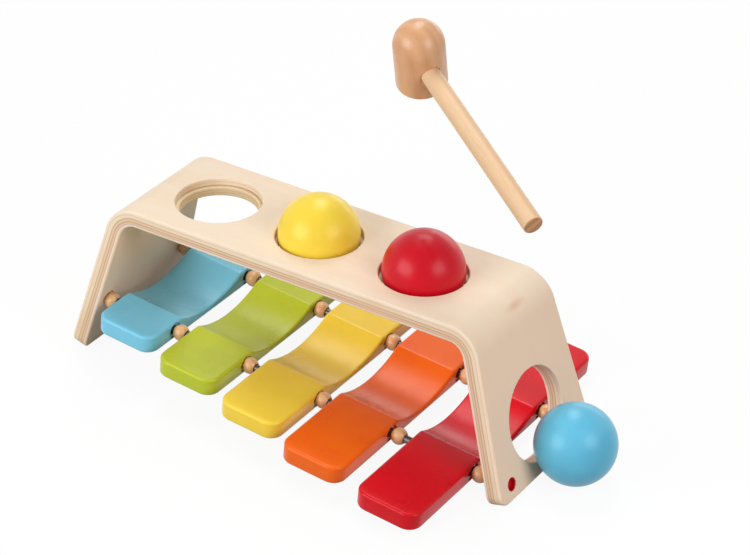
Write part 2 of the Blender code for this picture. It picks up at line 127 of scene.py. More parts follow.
class Nodes:
    """A node tree to which nodes are added."""

    def __init__(self, tree):
        self.tree = tree

    def node(self, kind, settings=None, sockets=None, output=0):
        """Add a node: its settings first, then a value or a wire for each named socket."""
        made = self.tree.nodes.new(kind)
        for name, value in (settings or {}).items():
            if name == "stops":
                made.color_ramp.elements.remove(made.color_ramp.elements[1])
                for place, shade in value:
                    made.color_ramp.elements.new(place).color = shade
                made.color_ramp.elements.remove(made.color_ramp.elements[0])
            else:
                setattr(made, name, value)
        for name, value in (sockets or {}).items():
            self.connect(made.inputs[name], value)
        return Wire(self, made.outputs[output]) if made.outputs else None

    def connect(self, socket, value):
        """Put a wire or a plain value into a socket."""
        if isinstance(value, Wire):
            self.tree.links.new(value.socket, socket)
        else:
            socket.default_value = value

    def math(self, operation, *values):
        """A Math node on numbers."""
        return self.node("ShaderNodeMath", {"operation": operation}, dict(enumerate(values)))

    def vector(self, operation, *values, output=0):
        """A Vector Math node."""
        settings = {"operation": operation}
        return self.node("ShaderNodeVectorMath", settings, dict(enumerate(values)), output)

    def mix(self, factor, first, second):
        """A colour between two others.  A Mix node's colours are its inputs 6 and 7 and its output 2."""
        sockets = {0: factor, 6: first, 7: second}
        return self.node("ShaderNodeMix", {"data_type": "RGBA"}, sockets, output=2)

    def step(self, value, low, high):
        """A smooth step from 0 at low to 1 at high."""
        return self.node("ShaderNodeMapRange", {"interpolation_type": "SMOOTHSTEP"},
                         {"Value": value, "From Min": low, "From Max": high})

    def noise(self, place, scale, detail=2.0):
        """Smooth noise from 0 to 1 on a place."""
        return self.node("ShaderNodeTexNoise", None, {"Vector": place, "Scale": scale, "Detail": detail})

    def stretched(self, place, stretch):
        """A place multiplied axis by axis, which draws a pattern out along the small axes."""
        return self.vector("MULTIPLY", place, stretch)

    def drawn_noise(self, place, stretch, detail=2.0):
        """Noise with its own number of cells per metre on each axis, so it is long where that is small."""
        return self.noise(self.stretched(place, stretch), 1.0, detail)

    def bump(self, height, distance, strength):
        """A normal bent by a height, whose full range is a distance in metres."""
        return self.node("ShaderNodeBump", None,
                         {"Strength": strength, "Distance": distance, "Height": height})


class Finish(Nodes):
    """A material with a Principled shader, whose sockets take plain values or wires."""

    def __init__(self, name, **sockets):
        self.material = bpy.data.materials.new(name)
        self.material.use_nodes = True
        super().__init__(self.material.node_tree)
        self.shader = self.tree.nodes["Principled BSDF"]
        self.set(**sockets)

    def set(self, **sockets):
        """Put values or wires into the shader's sockets."""
        for name, value in sockets.items():
            self.connect(self.shader.inputs[name.replace("_", " ")], value)


def colour(code):
    """A linear colour from a screen colour written as six hexadecimal digits."""
    shares = [int(code[i:i + 2], 16) / 255 for i in (0, 2, 4)]
    return (*[((c + 0.055) / 1.055) ** 2.4 if c > 0.04045 else c / 12.92 for c in shares], 1.0)


print("half way up the screen's scale is", round(colour("808080")[0], 3), "of white in light")

# %% [markdown]
# ## The studio
# The photograph is a cut-out on white, lit by a tall soft light high behind the toy, a wide one
# from the front left, one from the right and a dim low one from behind.  White comes from what the
# camera and mirror-like rays see of the world and the floor, not from more light: other rays see a
# plain grey world.  The floor keeps part of its own shading, so that the toy's soft shadow stays.

# %% World and floor
def white_rays(finish):
    """1 for the rays that should see a white background: camera, glossy and transmission rays."""
    rays = [finish.node("ShaderNodeLightPath", None, None, output=kind)
            for kind in ("Is Camera Ray", "Is Glossy Ray", "Is Transmission Ray")]
    total = rays[0] + rays[1] + rays[2]
    return finish.math("MINIMUM", total, 1.0)


AMBIENT = 0.22
world = bpy.data.worlds.new("studio")
world.use_nodes = True
sky = Nodes(world.node_tree)
sky.tree.nodes.clear()
dim = sky.node("ShaderNodeBackground", None, {"Color": (1, 1, 1, 1), "Strength": AMBIENT})
white = sky.node("ShaderNodeBackground", None, {"Color": (1, 1, 1, 1), "Strength": 1.0})
either = sky.node("ShaderNodeMixShader", None, {0: white_rays(sky), 1: dim, 2: white})
sky.node("ShaderNodeOutputWorld", None, {"Surface": either})
bpy.context.scene.world = world

FLOOR_REACH = 12.0
FLOOR_GLOW = 0.92
PAPER_BOUNCE = colour("989898")
PAPER_SEEN = colour("F8F8F8")
floor_mesh = bpy.data.meshes.new("floor")
corners = [(x * FLOOR_REACH, y * FLOOR_REACH, 0) for x, y in ((-1, -1), (1, -1), (1, 1), (-1, 1))]
floor_mesh.from_pydata(corners, [], [(0, 1, 2, 3)])
floor = bpy.data.objects.new("floor", floor_mesh)
bpy.context.scene.collection.objects.link(floor)
paper = Finish("studio_paper", Roughness=0.9, Specular_IOR_Level=0.1)
seen_directly = white_rays(paper)
paper.set(Base_Color=paper.mix(seen_directly, PAPER_BOUNCE, PAPER_SEEN))
glow = paper.node("ShaderNodeEmission", None, {"Color": (1, 1, 1, 1), "Strength": 1.0})
seen = paper.node("ShaderNodeMixShader", None,
                  {0: seen_directly * FLOOR_GLOW, 1: Wire(paper, paper.shader.outputs[0]), 2: glow})
paper.connect(paper.tree.nodes["Material Output"].inputs["Surface"], seen)
floor_mesh.materials.append(paper.material)
print("floor of", 2 * FLOOR_REACH, "m")

# %% Lamps
def add_lamp(name, direction, distance, width, height, watts):
    """A rectangular lamp at a distance in a direction from the toy, aimed at it."""
    data = bpy.data.lights.new(name, "AREA")
    data.shape = "RECTANGLE"
    data.size = width
    data.size_y = height
    data.energy = watts
    lamp = bpy.data.objects.new(name, data)
    aim = Vector(direction).normalized()
    turn = aim.to_track_quat("Z", "Y").to_matrix().to_4x4()
    lamp.matrix_world = Matrix.Translation(aim * distance) @ turn
    bpy.context.scene.collection.objects.link(lamp)


# Each lamp has a direction, a distance, a width, a height and a power in watts.
LAMPS = {"lamp_above": ((-0.23, 0.41, 0.88), 1.5, 0.52, 0.9, 9.3),
         "lamp_front_left": ((-0.38, -0.82, 0.42), 1.5, 1.1, 0.8, 15.6),
         "lamp_right": ((0.82, -0.15, 0.50), 1.6, 0.8, 0.8, 10.6),
         "lamp_rear": ((-0.10, 0.95, 0.25), 1.5, 1.0, 0.4, 2.0)}
for name, values in LAMPS.items():
    add_lamp(name, *values)
print(len(LAMPS), "lamps of", round(sum(values[-1] for values in LAMPS.values()), 1), "W in all")

# %% [markdown]
# ## Surfaces from formulas
# Almost every piece is turned: a profile that runs round an axis.  One function makes such a
# surface from numpy arrays, another closes a grid of points into faces, and a third merges poles
# and seams, points the faces outwards and keeps hard edges hard.

# %% Grids and turned surfaces
NEAR = 2e-5
MERGE = 1e-6
HARD_ANGLE = 30.0


def grid_faces(rows, columns, wrap_rows=False, wrap_columns=False):
    """Quads between the points of a grid, whose points are numbered row by row."""
    downwards = np.arange(rows - (not wrap_rows))
    sideways = np.arange(columns - (not wrap_columns))
    i, j = np.meshgrid(downwards, sideways, indexing="ij")
    below, beside = (i + 1) % rows, (j + 1) % columns
    quads = (i * columns + j, below * columns + j, below * columns + beside, i * columns + beside)
    return np.stack(quads, axis=-1).reshape(-1, 4)


def build(name, points, faces, hard_angle=HARD_ANGLE):
    """A smooth closed mesh from points and faces, with doubles merged and faces outwards."""
    mesh = bpy.data.meshes.new(name)
    mesh.from_pydata(np.asarray(points, float).reshape(-1, 3).tolist(), [], np.asarray(faces).tolist())
    bm = bmesh.new()
    bm.from_mesh(mesh)
    bmesh.ops.remove_doubles(bm, verts=bm.verts, dist=MERGE)
    bmesh.ops.recalc_face_normals(bm, faces=bm.faces)
    bm.to_mesh(mesh)
    bm.free()
    harden(mesh, hard_angle)
    return mesh


def harden(mesh, angle):
    """Shade smooth, apart from edges that turn by more than an angle in degrees."""
    mesh.shade_smooth()
    mesh.set_sharp_from_angle(angle=math.radians(angle))


def turned(name, profile, steps, closed=False, origin=(0, 0, 0), axis=(0, 0, 1)):
    """A profile of (r, h) points turned round an axis: origin + r cos a u + r sin a v + h axis."""
    profile = np.asarray(profile, float)
    axis = Vector(axis).normalized()
    turn = axis.to_track_quat("Z", "X").to_matrix()
    u, v = np.array(turn.col[0]), np.array(turn.col[1])
    angle = np.linspace(0, 2 * math.pi, steps, endpoint=False)
    r, h = profile[:, :1], profile[:, 1:]
    points = (np.array(origin) + (r * np.cos(angle))[..., None] * u + (r * np.sin(angle))[..., None] * v
              + (h * np.ones_like(angle))[..., None] * np.array(axis))
    return build(name, points, grid_faces(len(profile), steps, closed, True))


def arc(centre_r, centre_h, radius, start, end, steps):
    """Points of a round stretch of a profile, with both ends, its angles in degrees from +r."""
    angle = np.radians(np.linspace(start, end, steps + 1))
    return np.stack((centre_r + radius * np.cos(angle), centre_h + radius * np.sin(angle)), axis=-1)


def new_object(name, mesh):
    """An object at the origin, linked to the scene."""
    thing = bpy.data.objects.new(name, mesh)
    bpy.context.scene.collection.objects.link(thing)
    return thing


def carve(name, mesh, cutters):
    """Cut turned shapes out of a mesh and return the new mesh without slivers; the cutters go."""
    body = new_object(name, mesh)
    tools = [new_object("tool", tool) for tool in cutters]
    for tool in tools:
        cut = body.modifiers.new("cut", "BOOLEAN")
        cut.solver = "EXACT"
        cut.object = tool
    done = bpy.data.meshes.new_from_object(body.evaluated_get(bpy.context.evaluated_depsgraph_get()))
    for thing in [body, *tools]:
        bpy.data.objects.remove(thing, do_unlink=True)
    bm = bmesh.new()
    bm.from_mesh(done)
    bmesh.ops.remove_doubles(bm, verts=bm.verts, dist=NEAR / 4)
    bmesh.ops.dissolve_degenerate(bm, edges=bm.edges, dist=NEAR / 4)
    print(name, "has", sum(not edge.is_manifold for edge in bm.edges), "open edges")
    bm.to_mesh(done)
    bm.free()
    return done


def piece(node, mesh, finish):
    """A finished piece that stands for a node of the model and moves with its body."""
    thing = new_object(node + "_fine", mesh)
    mesh.materials.clear()
    mesh.materials.append(finish.material)
    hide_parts(node)
    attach(thing, frame["nodes"][node]["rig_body"])
    return thing


def node_points(node):
    """The corners of a node of the model as an array."""
    vertices = frame["nodes"][node].data.vertices
    points = np.empty(len(vertices) * 3)
    vertices.foreach_get("co", points)
    return points.reshape(-1, 3)


def node_end(node, axis):
    """Middle of the end of a turned node that lies lowest along an axis, and the node's length."""
    points = node_points(node)
    heights = points @ np.array(axis)
    low = points[heights < heights.min() + NEAR]
    return (low.min(axis=0) + low.max(axis=0)) / 2, heights.max() - heights.min()


box_middles = {name: (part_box(name)[0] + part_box(name)[1]) / 2 for name in frame["nodes"]}
print(len(box_middles), "nodes")

# %% [markdown]
# ## Plywood
# The sheet is glued up from thin veneers.  On its faces the grain runs along the sheet, and it is
# pale and quiet.  On every edge and hole wall the veneers show as stripes of their own shades with
# thin brown glue lines between them, and a colour ramp through the depth is the simplest way to
# give each its own shade.  Down the legs the face is tinted a little rosier as painted warm light,
# for the warm light bounced onto them, and the outer face has one soft brown mark on its right
# bend.  A pattern on plain coordinates would break at the bends, so each point of the mesh carries
# its place in the flat sheet: along, across and depth.

# %% Plywood finish
SHEET = 0.011
plywood = Finish("plywood", Specular_IOR_Level=0.12)
sheet_place = plywood.node("ShaderNodeAttribute", {"attribute_name": "sheet"}, None, output="Vector")
split = plywood.tree.nodes.new("ShaderNodeSeparateXYZ")
plywood.connect(split.inputs[0], sheet_place)
run, depth = (Wire(plywood, split.outputs[axis]) for axis in ("X", "Z"))
WAVER_CELLS = (20.0, 40.0, 40.0)
PLY_WAVER = 0.06
waver = plywood.drawn_noise(sheet_place, WAVER_CELLS) - 0.5
share = depth * (1 / SHEET) + waver * PLY_WAVER
PLY_STOPS = ((0.00, "F6E5CE"), (0.17, "F4E2C9"), (0.21, "DFC3AA"), (0.25, "F3E0C6"), (0.41, "F1DCBF"),
             (0.45, "BC957E"), (0.49, "E6C7A6"), (0.58, "E9CDAC"), (0.62, "B98F78"), (0.66, "E2C0A3"),
             (0.74, "E5C5A8"), (0.78, "C29E88"), (0.82, "F4E6D4"), (1.00, "F5E9D8"))
ply_shades = [(place, colour(code)) for place, code in PLY_STOPS]
plies = plywood.node("ShaderNodeValToRGB", {"stops": ply_shades}, {"Fac": share})
SKIN, SKIN_END = 0.10, 0.16
inside_sheet = plywood.step(share, SKIN, SKIN_END) * plywood.step(share, 1 - SKIN, 1 - SKIN_END)

BROAD_CELLS = (6.0, 70.0, 70.0)
FIBRE_CELLS = (55.0, 1400.0, 1400.0)
CLOUD_CELLS = 22.0
STREAK_CELLS = (16.0, 260.0, 800.0)
SPECKLE_CELLS = (1500.0, 500.0, 900.0)
broad = plywood.drawn_noise(sheet_place, BROAD_CELLS, 3.0)
fibre = plywood.drawn_noise(sheet_place, FIBRE_CELLS)
cloud = plywood.noise(sheet_place, CLOUD_CELLS)
streak = plywood.drawn_noise(sheet_place, STREAK_CELLS, 3.0)
speckle = plywood.drawn_noise(sheet_place, SPECKLE_CELLS)

PLY_CREAM = colour("F1DEC6")
PLY_WARM = colour("EFD7BB")
PLY_FIBRE = colour("DDBB90")
PLY_AMBER = colour("E8C296")
# Painted warm light: a rosy tint that stands in for warm light bounced onto the legs.
PLY_WARM_BOUNCE = colour("FDDCC0")
PLY_MARK = colour("CC8E54")
WARM_PATCHES = 0.8
FACE_FIBRE = 0.2
LEGS_WARM_BOUNCE = 0.85
AMBER_PATCHES = 0.45
EDGE_STREAKS = 0.35
EDGE_SPECKLE = 0.12
PLY_BUMP = 0.0001
LEGS_FROM, LEGS_ON = 0.118, 0.150
MARK_PLACE = (0.1290, 0.0070, 0.0)
MARK_STRETCH = (260.0, 80.0, 100.0)
patches = plywood.step(broad * 0.6 + cloud * 0.4, 0.40, 0.64)
face = plywood.mix(patches * WARM_PATCHES, PLY_CREAM, PLY_WARM)
face = plywood.mix(plywood.step(fibre, 0.56, 0.74) * FACE_FIBRE, face, PLY_FIBRE)
# Painted warm light: the legs' faces are tinted rosy for the warm light bounced onto them.
on_legs = plywood.step(plywood.math("ABSOLUTE", run, 0.0), LEGS_FROM, LEGS_ON)
face = plywood.mix(on_legs * LEGS_WARM_BOUNCE, face, PLY_WARM_BOUNCE)
to_mark = plywood.stretched(plywood.vector("SUBTRACT", sheet_place, MARK_PLACE), MARK_STRETCH)
mark = plywood.step(plywood.vector("LENGTH", to_mark, output="Value"), 1.0, 0.0)
face = plywood.mix(mark * (0.15 + 0.45 * fibre), face, PLY_MARK)
edge = plywood.mix(plywood.step(cloud, 0.50, 0.72) * AMBER_PATCHES, plies, PLY_AMBER)
streaks = plywood.step(streak, 0.50, 0.75) * EDGE_STREAKS + speckle * EDGE_SPECKLE
edge = plywood.mix(streaks, edge, PLY_FIBRE)
plywood.set(Base_Color=plywood.mix(inside_sheet, face, edge),
            Roughness=0.40 + 0.12 * fibre + 0.06 * inside_sheet,
            Normal=plywood.bump(fibre * 0.6 + inside_sheet * speckle, PLY_BUMP, 0.3))
print(len(PLY_STOPS), "stops through", SHEET * 1000, "mm")

# %% [markdown]
# ## The bridge
# The real sheet is glued up in a hot mould with two bends, then its outline, its ball holes and its
# exit hole are milled and every edge is rounded.  The surface follows the same order: a strip bent
# along a path of flat, arc and flat, given its thickness, trimmed level at the feet and rounded,
# with turned cutters for the holes.  Solidify and Bevel do the wall and the edges evenly.

# %% Bridge sizes
HEIGHT = BRIDGE_HIGH.z
HALF_PLATE = 0.1293
HALF_WIDTH = 0.0415
FLARE = 0.011
SPLAY = math.radians(16.0)
BEND = 0.022
EDGE = 0.0016
EDGE_ANGLE = 40
FOOT_CORNER = 0.008
FOOT_LAND = 0.006
HOLE = 0.0268
HOLE_EDGE = 0.0009
LEDGE = 0.0045
RING_BORE = 0.0288
EXIT = 0.02865
EXIT_RISE = 0.036
CLEARANCE = 0.0003
OVERRUN = 0.004
BRIDGE_HARD = 32
BEND_ARC = math.pi / 2 - SPLAY
SETBACK = BEND * math.tan(BEND_ARC / 2)
FOOT_RISE = math.sin(SPLAY) * (SHEET - FOOT_LAND * math.cos(SPLAY))
LEG = (HEIGHT - FOOT_RISE) / math.cos(SPLAY)
HOLES_X = [box_middles[name].x for name in ("ring_left", "ring_middle", "ring_right")]
print("leg", round(LEG, 4), "holes at", [round(x, 4) for x in HOLES_X])


def half_width_at(z):
    """Half the sheet's width at a height: the plate's own and straight flares down the legs."""
    return HALF_WIDTH + FLARE * (HEIGHT - z) / HEIGHT


def leg_point(side, down, depth=0.0):
    """A point in the middle plane: down a leg from the bridge's top corner and into its wall."""
    x = HALF_PLATE + down * math.sin(SPLAY) - depth * math.cos(SPLAY)
    return np.array((MIDDLE + side * x, 0.0, HEIGHT - down * math.cos(SPLAY) - depth * math.sin(SPLAY)))


def leg_outward(side):
    """The direction straight out of a leg's outer face."""
    return np.array((side * math.cos(SPLAY), 0.0, math.sin(SPLAY)))


# %% Bridge surface
def half_strip(bend_steps=28, corner_steps=10):
    """Rows (x, z, half width) of the outer face's right half: an arc, then a leg with round corners."""
    angle = np.linspace(0, BEND_ARC, bend_steps + 1)
    bend_x = HALF_PLATE - SETBACK + BEND * np.sin(angle)
    bend_z = HEIGHT - BEND + BEND * np.cos(angle)
    corner = np.linspace(0, math.pi / 2, corner_steps + 1)
    down = LEG - FOOT_CORNER * (1 - np.sin(corner))
    leg_x = HALF_PLATE + down * math.sin(SPLAY)
    leg_z = HEIGHT - down * math.cos(SPLAY)
    inward = FOOT_CORNER * (1 - np.cos(corner))
    x, z = np.append(bend_x, leg_x), np.append(bend_z, leg_z)
    width = half_width_at(z) - np.append(np.zeros(bend_steps + 1), inward)
    return np.stack((x, z, width), axis=-1), bend_steps + 1


def strip_mesh():
    """The whole outer face: the right half's rows and their mirror image, front and rear points."""
    rows, bent = half_strip()
    rows = np.concatenate((rows[::-1] * (-1, 1, 1), rows))
    count = len(rows)
    front = np.stack((rows[:, 0] + MIDDLE, -rows[:, 2], rows[:, 1]), axis=-1)
    rear = front * (1, -1, 1)
    half = count // 2
    middle_rows = np.arange(half - bent, half + bent)
    quads = [(i, i + 1, i + 1 + count, i + count) for i in middle_rows[:-1].tolist()]
    left = list(range(0, half - bent + 1))
    right = list(range(half + bent - 1, count))
    legs = [[*side, *[i + count for i in reversed(side)]] for side in (left, right)]
    mesh = bpy.data.meshes.new("bridge_fine")
    mesh.from_pydata(np.concatenate((front, rear)).tolist(), [], quads + legs)
    return mesh


def trimmed_sheet():
    """The strip with its thickness, cut level at the floor, with rounded edges."""
    strip = new_object("strip", strip_mesh())
    wall = strip.modifiers.new("wall", "SOLIDIFY")
    wall.thickness = SHEET
    wall.offset = -1.0
    wall.use_even_offset = True
    mesh = bpy.data.meshes.new_from_object(strip.evaluated_get(bpy.context.evaluated_depsgraph_get()))
    bpy.data.objects.remove(strip, do_unlink=True)
    bm = bmesh.new()
    bm.from_mesh(mesh)
    everything = [*bm.verts, *bm.edges, *bm.faces]
    bmesh.ops.bisect_plane(bm, geom=everything, dist=NEAR / 10, plane_co=(0, 0, 0), plane_no=(0, 0, -1),
                           clear_outer=True)
    bmesh.ops.holes_fill(bm, edges=[edge for edge in bm.edges if edge.is_boundary])
    bmesh.ops.recalc_face_normals(bm, faces=bm.faces)
    bm.to_mesh(mesh)
    bm.free()
    sheet = new_object("sheet", mesh)
    rounding = sheet.modifiers.new("rounding", "BEVEL")
    rounding.width = EDGE
    rounding.segments = 4
    rounding.use_clamp_overlap = False
    rounding.limit_method = "ANGLE"
    rounding.angle_limit = math.radians(EDGE_ANGLE)
    mesh = bpy.data.meshes.new_from_object(sheet.evaluated_get(bpy.context.evaluated_depsgraph_get()))
    bpy.data.objects.remove(sheet, do_unlink=True)
    return mesh


print("each half of the outer face has", len(half_strip()[0]), "rows of points")

# %% Bridge holes
ROD_TILT = math.radians(5.2)
ROD_AXIS = np.array((math.cos(ROD_TILT), 0.0, -math.sin(ROD_TILT)))
ROD_BORE = 0.0028
BEAD_POCKET = 0.0055
LEG_SEAT = 0.0006
RECESS = 0.0042
RECESS_RADIUS = 0.0043
RIM_SLOPE = 10
print("the rods slope down by", round(math.degrees(ROD_TILT), 1), "degrees")


def rim(radius, steps=6):
    """Profile of a bore's rounded rim, from a flare outside the face down into the bore."""
    rounded = arc(radius + HOLE_EDGE, -HOLE_EDGE, HOLE_EDGE, 90 + RIM_SLOPE, 180, steps)
    slope = math.radians(RIM_SLOPE)
    outside = rounded[0] + OVERRUN * np.array((math.cos(slope), math.sin(slope)))
    return np.concatenate(([(0, outside[1]), outside], rounded))


def ball_hole(x):
    """A bore with a ledge, and the ring's wider bore below it."""
    below = -SHEET - OVERRUN
    bores = [(HOLE, -LEDGE), (RING_BORE, -LEDGE), (RING_BORE, below), (0, below)]
    return turned("ball_hole", np.concatenate((rim(HOLE), bores)), steps=128, origin=(x, 0, HEIGHT))


def exit_hole():
    """A bore through the right leg with both rims rounded."""
    outer = rim(EXIT)
    inner = outer[::-1] * (1, -1) - (0, SHEET)
    return turned("exit_hole", np.concatenate((outer, inner)), steps=144,
                  origin=leg_point(1, LEG - EXIT_RISE), axis=leg_outward(1))


def plain_bore(radius, start, end, steps=40):
    """A cylinder from one point to another."""
    start, end = np.array(start), np.array(end)
    length = np.linalg.norm(end - start)
    return turned("bore", [(0, 0), (radius, 0), (radius, length), (0, length)], steps,
                  origin=start, axis=(end - start) / length)


def rod_tools(row):
    """Cutters round one rod: its bore with the first bead's pocket, and the recesses of its two plugs."""
    start, length = node_end("rod_" + row, ROD_AXIS)
    wall = np.dot(leg_point(-1, 0, SHEET) - start, leg_outward(-1)) / np.dot(ROD_AXIS, leg_outward(-1))
    before, after = -OVERRUN / 2, length + OVERRUN / 2
    pocket, mouth = wall - LEG_SEAT, wall + OVERRUN
    profile = [(0, before), (ROD_BORE, before), (ROD_BORE, pocket), (BEAD_POCKET, pocket),
               (BEAD_POCKET, mouth), (ROD_BORE, mouth), (ROD_BORE, after), (0, after)]
    tools = [turned("rod_bore", profile, steps=48, origin=start, axis=ROD_AXIS)]
    for side, end_name in ((-1, "left"), (1, "right")):
        out = leg_outward(side)
        foot = node_end(f"plug_{row}_{end_name}", out)[0]
        base = foot - out * CLEARANCE
        tools.append(plain_bore(RECESS_RADIUS, base, base + out * (RECESS + OVERRUN)))
    return tools


# %% Place in the flat sheet
def sheet_places(points):
    """Distance along the outer face, distance across and depth below it, for points of the bent sheet."""
    x, y, z = np.abs(points[:, 0] - MIDDLE), points[:, 1], points[:, 2]
    side = np.sign(points[:, 0] - MIDDLE)
    from_bend = x - (HALF_PLATE - SETBACK)
    from_centre = z - (HEIGHT - BEND)
    angle = np.arctan2(from_bend, from_centre)
    leg_down = (x - HALF_PLATE) * math.sin(SPLAY) + (HEIGHT - z) * math.cos(SPLAY)
    leg_depth = (HALF_PLATE - x) * math.cos(SPLAY) + (HEIGHT - z) * math.sin(SPLAY)
    on_plate = from_bend <= 0
    on_bend = (~on_plate) & (angle < BEND_ARC) & (from_centre > -BEND)
    flat = HALF_PLATE - SETBACK
    distance = np.where(on_plate, x, np.where(on_bend, flat + BEND * angle,
                                              flat + BEND * BEND_ARC + leg_down - SETBACK))
    below = np.where(on_plate, HEIGHT - z,
                     np.where(on_bend, BEND - np.hypot(from_bend, from_centre), leg_depth))
    return np.stack((side * distance, y, below), axis=-1)


def add_sheet_places(mesh):
    """Store the sheet places of a mesh's points as an attribute."""
    points = np.empty(len(mesh.vertices) * 3)
    mesh.vertices.foreach_get("co", points)
    places = sheet_places(points.reshape(-1, 3))
    mesh.attributes.new("sheet", "FLOAT_VECTOR", "POINT").data.foreach_set("vector", places.ravel())
    return places


bridge_mesh = carve("bridge", trimmed_sheet(),
                    [*map(ball_hole, HOLES_X), exit_hole(), *rod_tools("front"), *rod_tools("rear")])
harden(bridge_mesh, BRIDGE_HARD)
places = add_sheet_places(bridge_mesh)
bridge = piece("bridge", bridge_mesh, plywood)
smoothing = bridge.modifiers.new("even_shading", "WEIGHTED_NORMAL")
smoothing.keep_sharp = True
depths = places[:, 2]
print("bridge", len(bridge_mesh.polygons), "faces, depth", np.round([depths.min(), depths.max()], 5))

# %% [markdown]
# ## Rubber rings
# Under each ball hole's ledge sits a springy ring.  It is narrower than a ball, and holds it until
# the mallet taps it through.  A ring is a small profile turned round the hole.  The slits of a
# moulded part are left out, because only its inner lip is ever seen.

# %% Rings
rubber = Finish("ring_rubber", Specular_IOR_Level=0.35)
rubber_place = rubber.node("ShaderNodeTexCoord", None, None, output="Object")
RUBBER_GRAIN_CELLS = 900.0
RUBBER_BAND_CELLS = (12.0, 12.0, 1300.0)
RUBBER_LIGHT = colour("E8D3B0")
RUBBER_DARK = colour("D3AF83")
RUBBER_BUMP = 0.00004
rubber_grain = rubber.noise(rubber_place, RUBBER_GRAIN_CELLS, 3.0)
rubber_bands = rubber.drawn_noise(rubber_place, RUBBER_BAND_CELLS)
rubber.set(Base_Color=rubber.mix(rubber.step(rubber_bands, 0.35, 0.65), RUBBER_LIGHT, RUBBER_DARK),
           Roughness=0.55 + 0.15 * rubber_grain, Normal=rubber.bump(rubber_grain, RUBBER_BUMP, 0.5))
RING_OUTER = 0.0285
RING_LIP = 0.001
RING_BACK = RING_LIP / 2
ring_low, ring_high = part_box("ring_left")[0].z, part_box("ring_left")[1].z
points = node_points("ring_left")
ring_inner = np.hypot(points[:, 0] - HOLES_X[0], points[:, 1]).min()
back = RING_OUTER - RING_BACK
lip = ring_inner + RING_LIP
ring_profile = np.concatenate((arc(back, ring_low + RING_BACK, RING_BACK, 0, -90, 4),
                               arc(lip, ring_low + RING_LIP, RING_LIP, 270, 180, 6),
                               arc(lip, ring_high - RING_LIP, RING_LIP, 180, 90, 6),
                               arc(back, ring_high - RING_BACK, RING_BACK, 90, 0, 4)))
for name, x in zip(("ring_left", "ring_middle", "ring_right"), HOLES_X):
    ring_mesh = turned(name, ring_profile, steps=112, closed=True, origin=(x, 0, 0))
    piece(name, ring_mesh, rubber)
print("ring opening", round(ring_inner * 2000, 1), "mm wide")

# %% [markdown]
# ## Paint
# Bars, balls and plugs wear a thick satin paint.  Its colour is even, so what tells it from plastic
# is small: a faint swell of the grain below, a fine ripple from the spray and a slightly uneven
# gloss.  One function mixes it for every colour.

# %% Paint finishes
PAINT_TINT = 0.5
PAINT_RIPPLE = 0.00001
GRAIN_ACROSS = 900.0
GRAIN_ALONG = 25.0
PATCH_CELLS = 45.0
SPRAY_CELLS = 700.0


def paint(name, main, shade, roughness, grain_axis, gloss=0.32):
    """Paint on wood: two close colours, an uneven tinted gloss, and the grain's swell along an axis."""
    tint = [1 - PAINT_TINT + PAINT_TINT * share for share in colour(main)[:3]]
    finish = Finish(name, Specular_IOR_Level=gloss, Specular_Tint=(*tint, 1.0))
    place = finish.node("ShaderNodeTexCoord", None, None, output="Object")
    stretch = [GRAIN_ACROSS] * 3
    stretch[grain_axis] = GRAIN_ALONG
    grain = finish.drawn_noise(place, tuple(stretch))
    cloud = finish.noise(place, PATCH_CELLS)
    spray = finish.noise(place, SPRAY_CELLS)
    patches = finish.step(cloud, 0.35, 0.65) * 0.7 + grain * 0.3
    finish.set(Base_Color=finish.mix(patches, colour(main), colour(shade)),
               Roughness=roughness - 0.02 + 0.04 * cloud,
               Normal=finish.bump(grain * 0.6 + spray * 0.4, PAINT_RIPPLE, 0.5))
    return finish


BAR_PAINTS = {"blue": ("84D0EA", "7CC9E5"), "green": ("C2CC38", "BAC532"),
              "yellow": ("F8D64A", "F3CF42"), "orange": ("F56A12", "F0620F"), "red": ("DA0D1F", "D20B1B")}
BAR_GLAZE = 0.27
bar_finishes = {name: paint(f"bar_{name}_paint", *shades, BAR_GLAZE, grain_axis=1)
                for name, shades in BAR_PAINTS.items()}
print(len(bar_finishes), "paints for the bars")

# %% [markdown]
# ## Bars
# A bar is a board with round corners in plan, a rounded edge all round and a hollow across its
# middle, in which the balls roll.  Its surface is a rounded rectangle that is offset by a quarter
# round at the top and the bottom: point = outline + edge cos a normal, height = top(y) + edge sin a.
# The top is flat, less the hollow's arc, and a soft kink joins the two, as paint rounds it.

# %% Bar surface
BAR_THICK = 0.012
BAR_CORNER = 0.009
BAR_EDGE = 0.0019
SCOOP_HALF = 0.0315
SCOOP = 0.008
SCOOP_RADIUS = (SCOOP_HALF ** 2 + SCOOP ** 2) / (2 * SCOOP)
HELD_SHARE = 0.9
KINK = 0.0003
KINK_SHARES = (-3, -1.5, -0.7, 0, 0.7, 1.5, 3)
BAR_BORE = 0.0033
POCKET = 0.0013
BAR_WIDTH = np.ptp(node_points("bar_red") @ ROD_AXIS)
print("bar", round(BAR_WIDTH * 1000, 2), "mm wide, hollow's radius", round(SCOOP_RADIUS * 1000, 1), "mm")


def hollow(y):
    """Depth of the hollow at y: a circle's arc, max(circle, 0), with its two kinks rounded by k.

    circle = depth - R + sqrt(R^2 - y^2), and the depth is (circle + sqrt(circle^2 + k^2)) / 2.
    Near and past R, where the bar is flat, y is held at a share of R to keep the root real.
    """
    held = np.clip(np.abs(y), 0, SCOOP_RADIUS * HELD_SHARE)
    circle = SCOOP - SCOOP_RADIUS + np.sqrt(SCOOP_RADIUS ** 2 - held ** 2)
    return (circle + np.hypot(circle, KINK)) / 2


def side_stations(reach, hollow_steps=15, flat_steps=6):
    """Places along a bar's straight side: dense in the hollow and at its two kinks."""
    kink = SCOOP_HALF + np.array(KINK_SHARES) * 2 * KINK
    flat = np.linspace(kink[-1], reach, flat_steps + 1)[1:]
    curved = np.linspace(0, kink[0], hollow_steps + 1)[:-1]
    half = np.concatenate((curved, kink, flat))
    return np.concatenate((-half[:0:-1], half))


